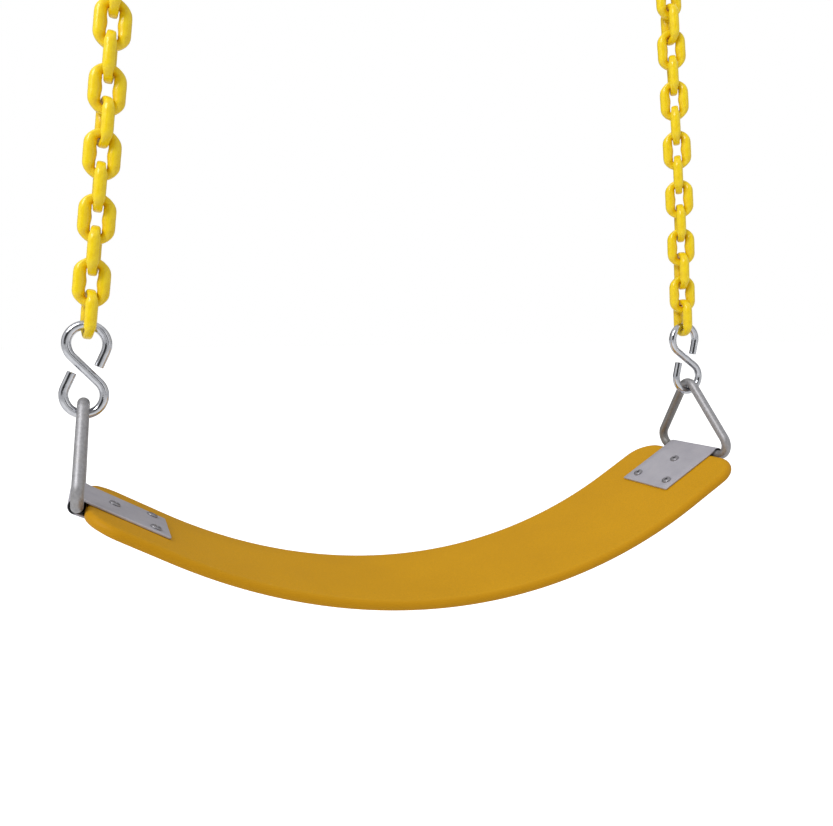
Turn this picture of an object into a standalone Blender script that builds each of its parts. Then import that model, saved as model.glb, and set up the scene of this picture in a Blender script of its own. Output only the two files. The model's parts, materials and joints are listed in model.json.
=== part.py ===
"""Belt swing: a strap seat between two coated chains, hung from two spring snap hooks.

Metres, +Z up. +X runs along the seat from its left end to its right end, and +Y to the back.
The origin is midway between the two snap hooks, on the line where the overhead hangers
carry them. Run it with: blender --background --python part.py
"""

import math

import bmesh
import bpy
from mathutils import Matrix, Vector

OBJECT_NAME = "belt_swing"

# Gap between fixed pieces that lie on each other, and between wires that hang on each other.
GAP = 0.0003
BEARING = 0.0005

# Chain: links are numbered upwards from the seat.
LINK_COUNT = 14
PITCH = 0.0245
LINK_SIDE_R = 0.0047
LINK_CROWN_R = 0.0030
LINK_HALF_HOLE = 0.0043
LINK_CENTRE_R = LINK_HALF_HOLE + LINK_SIDE_R
LINK_CROWN_Z = (PITCH + 2 * LINK_CROWN_R + BEARING) / 2
CROWN_STEPS = 6
CROWN_SPREAD = 1.3

# S-hook: two nearly closed loops of round wire.
HOOK_WIRE_R = 0.0036
HOOK_LOOP_R = 0.0148
HOOK_LOOP_Z = 0.0201
HOOK_TAIL = 0.0129
HOOK_TAIL_ANGLE = math.radians(-20)
HOOK_STEPS = 14

# Triangle: a round rod bent to a loop, its base bar along Y.
ROD_R = 0.0046
TRIANGLE_HALF_BASE = 0.0594
TRIANGLE_HEIGHT = 0.0817
TRIANGLE_BASE_BEND = 0.012
TRIANGLE_APEX_BEND = 0.010
BEND_STEPS = 6

# Seat: straight where the plates clamp it, and one arc between them.
SEAT_SPAN = 0.6148
END_SLOPE = math.radians(30.1)
CLAMP_RUN = 0.0755
BELT_WIDTH = 0.150
BELT_THICK = 0.0085
BELT_START = 0.0065
BELT_CORNER_R = 0.028
BELT_EDGE_BEVEL = 0.0028
CORNER_STEPS = 3
ARC_STEPS = 22

# Hanger plate: one sheet folded round the base bar, with a leaf on each side of the belt.
SHEET = 0.0018
ROLL_R = 0.0060
LEAF_RUN = 0.0734
LEAF_START = 0.009
PLATE_WIDTH = 0.069
ROLL_STEPS = 10

# Rivets: one near the bar and two near the plate's inner end.
RIVET_SPOTS = ((0.0268, 0.0), (0.0608, -0.0227), (0.0608, 0.0227))
RIVET_SHANK_R = 0.0029
RIVET_HEAD_R = 0.0048
RIVET_HEAD_H = 0.0016
RIVET_STEPS = 10

# Spring snap hook: round wire, narrow end up, with its gate on the front side.
SNAP_WIRE_R = 0.0035
SNAP_TOP_R = 0.0090
SNAP_TOP_Z = 0.0273
SNAP_FOOT_R = 0.0179
SNAP_FOOT_Z = -0.0186
SNAP_STEPS = 10
GATE_R = 0.0034
GATE_HINGE_Z = 0.0186
GATE_REACH = 0.0271
GATE_OVERHANG = 0.0024
GATE_NOSE_OVERHANG = 0.0021
TONGUE_HALF = 0.0013
NOSE_TONGUE_HALF = 0.0012
SLOT_HALF = 0.0016
PIN_R = 0.00085
PIN_HALF_LENGTH = 0.0031
PIN_HOLE_HALF_LENGTH = 0.006
HINGE_TONGUE_END = -0.00185
HINGE_CHEEK_TOP = 0.0052
NOSE_END_ABOVE_PIN = 0.0029
NOSE_CHEEK_DROP = 0.0026
NOTCH_DROP = 0.0013
NOTCH_RISE = 0.00175
NOTCH_DEPTH = 0.0013
HINGE_SLOT_FLOOR = -0.0044
NOSE_SLOT_ABOVE_PIN = 0.0035
SPRING_BORE_R = 0.0019
SPRING_BORE_FLOOR = -0.0142
SPRING_BORE_OVERLAP = 0.001
SPRING_START = -0.0050
SPRING_COIL_R = 0.00115
SPRING_WIRE_R = 0.0003
SPRING_TURNS = 5
SPRING_RUN = 0.0080
SPRING_STEPS = 8

# How far each side of the hanging line leans in towards the middle, in degrees:
# first the triangle and S-hook, then each chain link from the lowest up.
HOOK_LEAN = {"left": 5.5, "right": 9.04}
LINK_LEAN = {
    "left": (6.83,) * LINK_COUNT,
    "right": (4.3, 4.0, 4.2, 4.5, 4.9, 5.3, 5.7, 6.0, 6.2, 6.3, 6.4, 6.5, 6.5, 6.5),
}
# The set that each coated link has taken about its own length, in degrees.
LINK_TWIST = {
    "left": (10, 2, -3, 0, 3, 0, 14, 2, -2, 0, 3, 0, -2, 0),
    "right": (-10, -14, -22, -28, -34, -38, -41, -37, -41, -37, -36, -26, -14, -4),
}

# Spacing of the pieces along the hanging line, measured up from the base bar's centre.
TRIANGLE_HALF_APEX = math.atan2(TRIANGLE_HALF_BASE, TRIANGLE_HEIGHT)
APEX_UP = TRIANGLE_HEIGHT - TRIANGLE_APEX_BEND * (1 / math.sin(TRIANGLE_HALF_APEX) - 1)
HOOK_REACH = HOOK_LOOP_Z + HOOK_LOOP_R
HOOK_UP = APEX_UP - ROD_R - HOOK_WIRE_R - BEARING + HOOK_REACH
FIRST_LINK_UP = HOOK_UP + HOOK_REACH - HOOK_WIRE_R - LINK_CROWN_R - BEARING + LINK_CROWN_Z
LAST_CROWN_TO_SNAP = LINK_CROWN_Z - LINK_CROWN_R - SNAP_WIRE_R - BEARING
SNAP_BEARING_Z = SNAP_FOOT_Z - SNAP_FOOT_R
SNAP_HANGER_Z = SNAP_TOP_Z + SNAP_TOP_R - SNAP_WIRE_R

SIDES = {"left": -1, "right": 1}


def clear_scene():
    for item in list(bpy.data.objects):
        bpy.data.objects.remove(item, do_unlink=True)


def make_collection(name):
    collection = bpy.data.collections.new(name)
    bpy.context.scene.collection.children.link(collection)
    return collection


def make_material(name, colour, roughness, metallic):
    material = bpy.data.materials.new(name)
    material.use_nodes = True
    shader = material.node_tree.nodes["Principled BSDF"]
    shader.inputs["Base Color"].default_value = (*colour, 1.0)
    shader.inputs["Roughness"].default_value = roughness
    shader.inputs["Metallic"].default_value = metallic
    material.diffuse_color = (*colour, 1.0)
    return material


def add_piece(name, mesh, material, matrix, parent=None):
    """Link a mesh as a named piece, placed in the world and kept there under its parent."""
    piece = bpy.data.objects.new(name, mesh)
    PIECES.objects.link(piece)
    if not mesh.materials:
        mesh.materials.append(material)
    piece.matrix_world = matrix
    if parent:
        piece.parent = parent
        piece.matrix_parent_inverse = parent.matrix_world.inverted()
    return piece


def add_pivot(name, matrix):
    """An empty on a joint's axis, for pieces whose own origin is elsewhere."""
    pivot = bpy.data.objects.new(name, None)
    pivot.empty_display_size = 0.01
    PIECES.objects.link(pivot)
    pivot.matrix_world = matrix
    bpy.context.view_layer.update()
    return pivot


def smooth(mesh, degrees=40):
    mesh.shade_smooth()
    mesh.set_sharp_from_angle(angle=math.radians(degrees))
    return mesh


def wire_mesh(name, points, radius, cyclic=False, scale=None):
    """A round wire along points. scale gives each point's share of the radius."""
    curve = bpy.data.curves.new(name, "CURVE")
    curve.dimensions = "3D"
    curve.bevel_depth = radius
    curve.bevel_resolution = 2
    curve.use_fill_caps = not cyclic
    spline = curve.splines.new("POLY")
    spline.points.add(len(points) - 1)
    spline.use_cyclic_u = cyclic
    for i, point in enumerate(points):
        spline.points[i].co = (*point, 1.0)
        spline.points[i].radius = scale[i] if scale else 1.0
    holder = bpy.data.objects.new(name, curve)
    bpy.context.scene.collection.objects.link(holder)
    depsgraph = bpy.context.evaluated_depsgraph_get()
    mesh = bpy.data.meshes.new_from_object(holder.evaluated_get(depsgraph))
    bpy.data.objects.remove(holder, do_unlink=True)
    bpy.data.curves.remove(curve)
    mesh.name = name
    mesh.materials.clear()
    shape = bmesh.new()
    shape.from_mesh(mesh)
    bmesh.ops.remove_doubles(shape, verts=shape.verts, dist=0.000001)
    shape.to_mesh(mesh)
    shape.free()
    return smooth(mesh)


def box_mesh(name, low, high):
    shape = bmesh.new()
    bmesh.ops.create_cube(shape, size=1.0)
    size = Vector(high) - Vector(low)
    centre = (Vector(high) + Vector(low)) / 2
    bmesh.ops.transform(shape, matrix=Matrix.Diagonal((*size, 1.0)), verts=shape.verts)
    bmesh.ops.translate(shape, vec=centre, verts=shape.verts)
    mesh = bpy.data.meshes.new(name)
    shape.to_mesh(mesh)
    shape.free()
    return mesh


def rod_mesh(name, radius, low, high, axis="Z", sides=16):
    """A plain cylinder from low to high along one axis."""
    shape = bmesh.new()
    bmesh.ops.create_cone(
        shape, cap_ends=True, segments=sides, radius1=radius, radius2=radius, depth=high - low
    )
    bmesh.ops.translate(shape, vec=(0, 0, (high + low) / 2), verts=shape.verts)
    if axis == "Y":
        turn = Matrix.Rotation(math.radians(-90), 4, "X")
        bmesh.ops.transform(shape, matrix=turn, verts=shape.verts)
    mesh = bpy.data.meshes.new(name)
    shape.to_mesh(mesh)
    shape.free()
    return smooth(mesh)


def add_cutter(name, mesh, matrix):
    cutter = bpy.data.objects.new(name, mesh)
    CUTTERS.objects.link(cutter)
    cutter.matrix_world = matrix
    cutter.hide_render = True
    cutter.display_type = "WIRE"
    return cutter


def cut(piece, cutter):
    modifier = piece.modifiers.new("cut_" + cutter.name, "BOOLEAN")
    modifier.operation = "DIFFERENCE"
    modifier.solver = "EXACT"
    modifier.object = cutter


def arc(centre, radius, start, end, steps):
    """Points of an arc in the XZ plane, both ends included."""
    points = []
    for i in range(steps + 1):
        angle = start + (end - start) * i / steps
        x = centre[0] + radius * math.cos(angle)
        z = centre[1] + radius * math.sin(angle)
        points.append((x, 0.0, z))
    return points


# ---------------------------------------------------------------- hanging line


def lean_matrix(side, degrees):
    return Matrix.Rotation(-SIDES[side] * math.radians(degrees), 4, "Y")


def up_along(side, degrees):
    return lean_matrix(side, degrees) @ Vector((0, 0, 1))


def bar_point(side):
    return Vector((SIDES[side] * SEAT_SPAN / 2, 0, BAR_Z))


def link_centres(side, start):
    """Link centres upwards from the base bar at start, each with its own lean."""
    hook_up = up_along(side, HOOK_LEAN[side])
    crown = start + hook_up * (FIRST_LINK_UP - LINK_CROWN_Z)
    leans = LINK_LEAN[side]
    centre = crown + up_along(side, leans[0]) * LINK_CROWN_Z
    centres = [centre]
    for below, above in zip(leans, leans[1:]):
        centre = centre + (up_along(side, below) + up_along(side, above)) * (PITCH / 2)
        centres.append(centre)
    return centres


def snap_centre(side, start):
    top = link_centres(side, start)[-1]
    bearing = top + up_along(side, LINK_LEAN[side][-1]) * LAST_CROWN_TO_SNAP
    return bearing - Vector((0, 0, SNAP_BEARING_Z))


def drop_to_bars():
    """Height from the base bars up to the hanger line, as the mean of the two sides."""
    heights = [snap_centre(side, Vector((0, 0, 0))).z + SNAP_HANGER_Z for side in SIDES]
    return sum(heights) / len(heights)


# ---------------------------------------------------------------- chain


def link_mesh():
    """An oval link in the XZ plane. The coat is thick on the sides and thin at the crowns."""
    straight = LINK_CROWN_Z - LINK_CENTRE_R
    points = []
    scale = []
    for end in (1, -1):
        for i in range(CROWN_STEPS + 1):
            angle = math.pi * i / CROWN_STEPS
            x = end * LINK_CENTRE_R * math.cos(angle)
            z = end * (straight + LINK_CENTRE_R * math.sin(angle))
            points.append((x, 0.0, z))
            share = min(1.0, CROWN_SPREAD * math.sin(angle) ** 2)
            scale.append(1 + (LINK_CROWN_R / LINK_SIDE_R - 1) * share)
    return wire_mesh("chain_link", points, LINK_SIDE_R, cyclic=True, scale=scale)


def add_chain(side, mesh, material):
    centres = link_centres(side, bar_point(side))
    for i, centre in enumerate(centres):
        number = i + 1
        turn = LINK_TWIST[side][i] + (90 if number % 2 else 0)
        lean = lean_matrix(side, LINK_LEAN[side][i])
        spin = Matrix.Rotation(math.radians(turn), 4, "Z")
        matrix = Matrix.Translation(centre) @ lean @ spin
        pivot = None
        if number > LINK_COUNT - 2:
            crown = matrix @ Matrix.Translation((0, 0, LINK_CROWN_Z))
            pivot = add_pivot(f"{side}_link_{number:02d}_pivot", crown)
        add_piece(f"{side}_link_{number:02d}", mesh, material, matrix, pivot)


# ---------------------------------------------------------------- S-hook and triangle


def s_hook_mesh():
    """Half of the wire runs from the middle over the upper loop; the rest is its half turn."""
    tangent = math.asin(HOOK_LOOP_R / HOOK_LOOP_Z)
    loop = arc((0.0, HOOK_LOOP_Z), HOOK_LOOP_R, math.pi + tangent, HOOK_TAIL_ANGLE, HOOK_STEPS)
    last = loop[-1]
    tail_x = last[0] + HOOK_TAIL * math.sin(HOOK_TAIL_ANGLE)
    tail_z = last[2] - HOOK_TAIL * math.cos(HOOK_TAIL_ANGLE)
    upper = loop + [(tail_x, 0.0, tail_z)]
    lower = [(-x, 0.0, -z) for x, _, z in reversed(upper)]
    return wire_mesh("s_hook", lower + upper, HOOK_WIRE_R)


def triangle_mesh():
    """A closed rod loop in the YZ plane, its base bar through the origin."""
    base_angle = math.atan2(TRIANGLE_HEIGHT, TRIANGLE_HALF_BASE)
    base_centre = TRIANGLE_HALF_BASE - TRIANGLE_BASE_BEND / math.tan(base_angle / 2)
    apex_centre = APEX_UP - TRIANGLE_APEX_BEND
    leg = math.pi / 2 - base_angle
    right = arc(
        (base_centre, TRIANGLE_BASE_BEND), TRIANGLE_BASE_BEND, -math.pi / 2, leg, BEND_STEPS
    )
    top = arc((0.0, apex_centre), TRIANGLE_APEX_BEND, leg, math.pi - leg, BEND_STEPS)
    left = [(-x, 0.0, z) for x, _, z in reversed(right)]
    points = [(0.0, x, z) for x, _, z in right + top + left]
    return wire_mesh("triangle", points, ROD_R, cyclic=True)


def add_hangers(side, hook, triangle, zinc, galvanised):
    lean = lean_matrix(side, HOOK_LEAN[side])
    up = up_along(side, HOOK_LEAN[side])
    start = bar_point(side)
    add_piece(f"{side}_triangle", triangle, galvanised, Matrix.Translation(start) @ lean)
    place = Matrix.Translation(start + up * HOOK_UP) @ lean
    add_piece(f"{side}_s_hook", hook, zinc, place)


# ---------------------------------------------------------------- seat


def seat_frame(run):
    """Place on the belt's mid surface at a run from the left bar: X along it, Z its normal."""
    arc_r = (SEAT_SPAN / 2 - CLAMP_RUN * math.cos(END_SLOPE)) / math.sin(END_SLOPE)
    length = 2 * (CLAMP_RUN + arc_r * END_SLOPE)
    from_end = min(run, length - run)
    if from_end < CLAMP_RUN:
        slope = END_SLOPE
        x = from_end * math.cos(slope)
        z = -from_end * math.sin(slope)
    else:
        slope = END_SLOPE - (from_end - CLAMP_RUN) / arc_r
        x = SEAT_SPAN / 2 - arc_r * math.sin(slope)
        z = -CLAMP_RUN * math.sin(END_SLOPE)
        z -= arc_r * (math.cos(slope) - math.cos(END_SLOPE))
    half = -1 if run < length / 2 else 1
    place = Vector((half * (SEAT_SPAN / 2 - x), 0, BAR_Z + z))
    return Matrix.Translation(place) @ Matrix.Rotation(-half * slope, 4, "Y")


def seat_length():
    arc_r = (SEAT_SPAN / 2 - CLAMP_RUN * math.cos(END_SLOPE)) / math.sin(END_SLOPE)
    return 2 * (CLAMP_RUN + arc_r * END_SLOPE)


def belt_stations():
    """(run, half width) down the belt, close together round its corners."""
    end = []
    for i in range(CORNER_STEPS + 1):
        angle = math.pi / 2 * i / CORNER_STEPS
        run = BELT_START + BELT_CORNER_R * (1 - math.cos(angle))
        half = BELT_WIDTH / 2 - BELT_CORNER_R * (1 - math.sin(angle))
        end.append((run, half))
    length = seat_length()
    middle = []
    for i in range(ARC_STEPS + 1):
        run = CLAMP_RUN + (length - 2 * CLAMP_RUN) * i / ARC_STEPS
        middle.append((run, BELT_WIDTH / 2))
    far_end = [(length - run, half) for run, half in reversed(end)]
    return end + middle + far_end


def add_belt(material, pivot, cutters):
    shape = bmesh.new()
    rows = []
    for run, half in belt_stations():
        frame = seat_frame(run)
        rows.append([shape.verts.new(frame @ Vector((0, y, 0))) for y in (-half, half)])
    for here, there in zip(rows, rows[1:]):
        shape.faces.new((here[0], there[0], there[1], here[1]))
    mesh = bpy.data.meshes.new("seat_belt")
    shape.to_mesh(mesh)
    shape.free()
    belt = add_piece("seat_belt", smooth(mesh), material, Matrix.Identity(4), pivot)
    thick = belt.modifiers.new("thickness", "SOLIDIFY")
    thick.thickness = BELT_THICK
    thick.offset = 0.0
    edge = belt.modifiers.new("rounded_edge", "BEVEL")
    edge.width = BELT_EDGE_BEVEL
    edge.segments = 2
    edge.limit_method = "ANGLE"
    edge.angle_limit = math.radians(60)
    for cutter in cutters:
        cut(belt, cutter)


def end_frame(side):
    """Frame at a base bar: X runs inwards along the belt, Z is the belt's upper normal."""
    flip = Matrix.Identity(4) if side == "left" else Matrix.Rotation(math.pi, 4, "Z")
    lean = Matrix.Rotation(END_SLOPE, 4, "Y")
    return Matrix.Translation(bar_point(side)) @ flip @ lean


def rivet_cutter(side):
    shape = bmesh.new()
    for run, y in RIVET_SPOTS:
        made = bmesh.ops.create_cone(
            shape,
            cap_ends=True,
            segments=16,
            radius1=RIVET_SHANK_R + GAP,
            radius2=RIVET_SHANK_R + GAP,
            depth=4 * BELT_THICK,
        )
        bmesh.ops.translate(shape, vec=(run, y, 0), verts=made["verts"])
    mesh = bpy.data.meshes.new(f"{side}_rivet_holes")
    shape.to_mesh(mesh)
    shape.free()
    return add_cutter(f"{side}_rivet_holes", mesh, end_frame(side))


def add_plate(side, material, pivot, cutter):
    leaf = BELT_THICK / 2 + GAP + SHEET / 2
    roll = arc((0.0, 0.0), ROLL_R, math.pi / 2, 3 * math.pi / 2, ROLL_STEPS)
    profile = [(LEAF_RUN, 0.0, leaf), (LEAF_START, 0.0, leaf)] + roll
    profile += [(LEAF_START, 0.0, -leaf), (LEAF_RUN, 0.0, -leaf)]
    shape = bmesh.new()
    rows = []
    for x, _, z in profile:
        rows.append([shape.verts.new((x, y, z)) for y in (-PLATE_WIDTH / 2, PLATE_WIDTH / 2)])
    for here, there in zip(rows, rows[1:]):
        shape.faces.new((here[0], here[1], there[1], there[0]))
    mesh = bpy.data.meshes.new(f"{side}_hanger_plate")
    shape.to_mesh(mesh)
    shape.free()
    plate = add_piece(f"{side}_hanger_plate", smooth(mesh), material, end_frame(side), pivot)
    thick = plate.modifiers.new("thickness", "SOLIDIFY")
    thick.thickness = SHEET
    thick.offset = 0.0
    cut(plate, cutter)


def rivet_profile_mesh():
    """Half outline of a tubular rivet, from its dimpled head down to its clinched foot."""
    face = BELT_THICK / 2 + GAP + SHEET + GAP
    top = face + RIVET_HEAD_H
    outline = [
        (0.0, face + RIVET_HEAD_H / 3),
        (RIVET_SHANK_R / 2, face + RIVET_HEAD_H / 3),
        (RIVET_SHANK_R * 2 / 3, top),
        (RIVET_HEAD_R * 0.75, top - RIVET_HEAD_H / 4),
        (RIVET_HEAD_R, face + RIVET_HEAD_H / 4),
        (RIVET_HEAD_R, face),
        (RIVET_SHANK_R, face),
        (RIVET_SHANK_R, -face),
        (RIVET_HEAD_R, -face),
        (RIVET_HEAD_R * 0.75, -face - RIVET_HEAD_H * 0.75),
        (0.0, -face - RIVET_HEAD_H),
    ]
    mesh = bpy.data.meshes.new("rivet_profile")
    edges = [(i, i + 1) for i in range(len(outline) - 1)]
    mesh.from_pydata([(x, 0.0, z) for x, z in outline], edges, [])
    return mesh


def add_rivets(side, profile, material, pivot):
    for i, (run, y) in enumerate(RIVET_SPOTS):
        matrix = end_frame(side) @ Matrix.Translation((run, y, 0))
        rivet = add_piece(f"{side}_rivet_{i + 1}", profile, material, matrix, pivot)
        turned = rivet.modifiers.new("turned", "SCREW")
        turned.steps = RIVET_STEPS
        turned.render_steps = RIVET_STEPS
        turned.use_merge_vertices = True
        turned.merge_threshold = 0.00001
        turned.use_smooth_shade = True


# ---------------------------------------------------------------- snap hooks


def gate_frame():
    """Frame at the gate's hinge in the hook's own XZ plane: Z up the side, X outwards."""
    side_lean = math.asin((SNAP_FOOT_R - SNAP_TOP_R) / (SNAP_TOP_Z - SNAP_FOOT_Z))
    start_x = SNAP_TOP_R * math.cos(side_lean)
    start_z = SNAP_TOP_Z + SNAP_TOP_R * math.sin(side_lean)
    hinge_x = start_x + (start_z - GATE_HINGE_Z) * math.tan(side_lean)
    place = Matrix.Translation((hinge_x, 0, GATE_HINGE_Z))
    return place @ Matrix.Rotation(-side_lean, 4, "Y"), side_lean


def snap_body_mesh():
    """The bent wire, from its hinge end over the narrow top and round the foot to its nose."""
    frame, lean = gate_frame()
    hinge_end = frame @ Vector((0, 0, HINGE_TONGUE_END))
    nose_end = frame @ Vector((0, 0, -GATE_REACH + NOSE_END_ABOVE_PIN))
    top = arc((0, SNAP_TOP_Z), SNAP_TOP_R, lean, math.pi - lean, SNAP_STEPS)
    foot = arc((0, SNAP_FOOT_Z), SNAP_FOOT_R, math.pi - lean, 2 * math.pi + lean, SNAP_STEPS + 6)
    points = [tuple(hinge_end)] + top + foot + [tuple(nose_end)]
    return wire_mesh("snap_body", points, SNAP_WIRE_R)


def snap_body_cutters(place, side):
    """Cutters that leave a tongue at the hinge and a notched one at the nose."""
    far = 2 * SNAP_WIRE_R
    nose = -GATE_REACH
    low = nose - NOSE_CHEEK_DROP
    high = nose + far
    notch_high = (NOTCH_DEPTH, far, nose + NOTCH_RISE)
    cheeks = {
        "hinge_front": ((-far, TONGUE_HALF, -far), (far, far, HINGE_CHEEK_TOP)),
        "hinge_back": ((-far, -far, -far), (far, -TONGUE_HALF, HINGE_CHEEK_TOP)),
        "nose_front": ((-far, NOSE_TONGUE_HALF, low), (far, far, high)),
        "nose_back": ((-far, -far, low), (far, -NOSE_TONGUE_HALF, high)),
        "notch": ((-far, -far, nose - NOTCH_DROP), notch_high),
    }
    cutters = []
    for name, (corner, opposite) in cheeks.items():
        mesh = box_mesh(name, corner, opposite)
        cutters.append(add_cutter(f"{side}_snap_{name}", mesh, place))
    return cutters


def gate_cutters(place, side):
    """Cutters for the gate's two slots and the bore that holds its spring."""
    far = 2 * GATE_R
    floor = HINGE_SLOT_FLOOR
    roof = -GATE_REACH + NOSE_SLOT_ABOVE_PIN
    bore_top = floor + SPRING_BORE_OVERLAP
    shapes = {
        "hinge_slot": box_mesh("hinge_slot", (-far, -SLOT_HALF, floor), (far, SLOT_HALF, far)),
        "nose_slot": box_mesh(
            "nose_slot", (-far, -SLOT_HALF, -GATE_REACH - far), (far, SLOT_HALF, roof)
        ),
        "spring_bore": rod_mesh("spring_bore", SPRING_BORE_R, SPRING_BORE_FLOOR, bore_top),
    }
    return [add_cutter(f"{side}_gate_{name}", mesh, place) for name, mesh in shapes.items()]


def pin_hole_cutter(name, place, z):
    reach = PIN_HOLE_HALF_LENGTH
    mesh = rod_mesh(name, PIN_R + GAP, -reach, reach, axis="Y", sides=12)
    return add_cutter(name, mesh, place @ Matrix.Translation((0, 0, z)))


def spring_mesh():
    """The gate's push spring: a short helix down the gate's bore."""
    count = SPRING_TURNS * SPRING_STEPS
    points = []
    for i in range(count + 1):
        angle = 2 * math.pi * i / SPRING_STEPS
        x = SPRING_COIL_R * math.cos(angle)
        y = SPRING_COIL_R * math.sin(angle)
        points.append((x, y, SPRING_START - SPRING_RUN * i / count))
    return wire_mesh("gate_spring", points, SPRING_WIRE_R)


def add_snap_hook(side, meshes, steel):
    centre = snap_centre(side, bar_point(side))
    hook = Matrix.Translation(centre) @ Matrix.Rotation(-math.pi / 2, 4, "Z")
    hinge = hook @ gate_frame()[0]
    body = add_piece(f"{side}_snap_body", meshes["body"], steel, hook)
    gate = add_piece(f"{side}_snap_gate", meshes["gate"], steel, hinge)
    hinge_hole = pin_hole_cutter(f"{side}_hinge_pin_hole", hinge, 0.0)
    latch_hole = pin_hole_cutter(f"{side}_latch_pin_hole", hinge, -GATE_REACH)
    for cutter in snap_body_cutters(hinge, side) + [hinge_hole]:
        cut(body, cutter)
    for cutter in gate_cutters(hinge, side) + [hinge_hole, latch_hole]:
        cut(gate, cutter)
    latch = hinge @ Matrix.Translation((0, 0, -GATE_REACH))
    add_piece(f"{side}_snap_hinge_pin", meshes["pin"], steel, hinge)
    add_piece(f"{side}_snap_latch_pin", meshes["pin"], steel, latch)
    add_piece(f"{side}_snap_spring", meshes["spring"], steel, hinge)


# ---------------------------------------------------------------- assembly


def build_swing():
    rubber = make_material("belt_rubber", (0.62, 0.33, 0.025), 0.55, 0.0)
    vinyl = make_material("chain_vinyl", (0.80, 0.58, 0.01), 0.3, 0.0)
    zinc = make_material("bright_zinc", (0.72, 0.73, 0.76), 0.2, 1.0)
    galvanised = make_material("galvanised_rod", (0.42, 0.41, 0.43), 0.45, 1.0)
    sheet = make_material("plate_sheet", (0.40, 0.38, 0.42), 0.5, 1.0)
    rivet = make_material("rivet_steel", (0.45, 0.44, 0.46), 0.4, 1.0)

    link = link_mesh()
    hook = s_hook_mesh()
    triangle = triangle_mesh()
    rivet_profile = rivet_profile_mesh()
    snap_meshes = {
        "body": snap_body_mesh(),
        "gate": rod_mesh("snap_gate", GATE_R, -GATE_REACH - GATE_NOSE_OVERHANG, GATE_OVERHANG),
        "pin": rod_mesh("snap_pin", PIN_R, -PIN_HALF_LENGTH, PIN_HALF_LENGTH, axis="Y", sides=10),
        "spring": spring_mesh(),
    }

    seat_pivot = add_pivot("seat_pivot", Matrix.Translation(bar_point("left")))
    cutters = {side: rivet_cutter(side) for side in SIDES}
    add_belt(rubber, seat_pivot, cutters.values())
    for side in SIDES:
        add_plate(side, sheet, seat_pivot, cutters[side])
        add_rivets(side, rivet_profile, rivet, seat_pivot)
        add_hangers(side, hook, triangle, zinc, galvanised)
        add_chain(side, link, vinyl)
        add_snap_hook(side, snap_meshes, zinc)


clear_scene()
PIECES = make_collection(OBJECT_NAME)
CUTTERS = make_collection("cutters")
BAR_Z = -drop_to_bars()
build_swing()
bpy.context.view_layer.update()
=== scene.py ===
"""The belt swing's looks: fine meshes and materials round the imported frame."""

import json
import math

import bmesh
import bpy
from mathutils import Matrix, Vector, noise


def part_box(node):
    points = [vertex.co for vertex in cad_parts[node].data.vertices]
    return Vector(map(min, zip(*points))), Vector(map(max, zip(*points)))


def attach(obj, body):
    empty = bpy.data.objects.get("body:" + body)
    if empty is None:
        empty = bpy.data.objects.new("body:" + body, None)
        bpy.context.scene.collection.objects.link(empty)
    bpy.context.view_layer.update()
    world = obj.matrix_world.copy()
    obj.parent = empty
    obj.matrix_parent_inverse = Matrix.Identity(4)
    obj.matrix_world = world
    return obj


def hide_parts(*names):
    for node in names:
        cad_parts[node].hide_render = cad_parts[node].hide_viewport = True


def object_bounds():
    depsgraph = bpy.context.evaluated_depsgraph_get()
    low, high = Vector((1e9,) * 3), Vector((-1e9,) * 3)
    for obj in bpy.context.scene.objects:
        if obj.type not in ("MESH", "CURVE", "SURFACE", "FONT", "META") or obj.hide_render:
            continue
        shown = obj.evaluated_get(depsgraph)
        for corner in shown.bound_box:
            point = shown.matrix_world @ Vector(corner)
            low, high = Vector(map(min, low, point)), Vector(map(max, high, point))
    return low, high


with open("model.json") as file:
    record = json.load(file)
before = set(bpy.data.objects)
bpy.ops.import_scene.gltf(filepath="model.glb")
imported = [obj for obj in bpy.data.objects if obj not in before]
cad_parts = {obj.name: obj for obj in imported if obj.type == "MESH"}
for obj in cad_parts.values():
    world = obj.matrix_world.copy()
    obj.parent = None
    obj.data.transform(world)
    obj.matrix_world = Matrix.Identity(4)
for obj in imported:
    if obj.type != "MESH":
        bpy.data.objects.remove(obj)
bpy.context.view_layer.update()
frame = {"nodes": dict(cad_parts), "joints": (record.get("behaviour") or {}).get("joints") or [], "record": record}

# The part's own design sizes are in metres, as in its CAD. Counts ending in _STEPS or _SIDES
# only say how fine a curve is.

# Gap between fixed pieces that lie on each other.
GAP = 0.0003

# Chain links, numbered upwards from the seat. The coat is thick on the sides and worn on the
# crowns. CROWN_FROM and CROWN_FULL say how far up the crown its radius changes over.
LINK_COUNT = 14
LINK_SIDE_R = 0.0047
LINK_CROWN_R = 0.0030
LINK_OUTER_CROWN_R = 0.0040
LINK_OUTER_CROWN_HALF = 0.0036
LINK_WAIST = 0.0007
LINK_CENTRE_R = 0.0090
LINK_CROWN_Z = 0.0155
CROWN_FROM = 0.26
CROWN_FULL = 0.84
CROWN_SQUARE = 0.4
LINK_CROWN_STEPS = 20
LINK_STRAIGHT_STEPS = 10
LINK_SIDES = 20
# How much painted shade darkens the links' inner side, and how much more of it falls on the inner side of the
# crowns, where the links meet.
PAINTED_SHADE_INSIDE = 0.25
PAINTED_SHADE_AT_CROWNS = 0.75
# The coat's lumps: their height, how close they lie, and the share of the finer ones.
LUMP_HEIGHT = 0.00009
LUMP_SCALE = 190.0
FINE_LUMP_SCALE = 520.0
FINE_LUMP_SHARE = 0.4
LUMP_SHIFT = (3.1, 1.7, 2.3)

# S-hooks.
HOOK_WIRE_R = 0.0036
HOOK_LOOP_R = 0.0148
HOOK_LOOP_Z = 0.0201
HOOK_TAIL = 0.0129
HOOK_TAIL_ANGLE = math.radians(-20)
HOOK_CHAMFER = 0.00035
HOOK_LOOP_STEPS = 48
HOOK_TAIL_STEPS = 5
HOOK_MIDDLE_STEPS = 10
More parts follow.
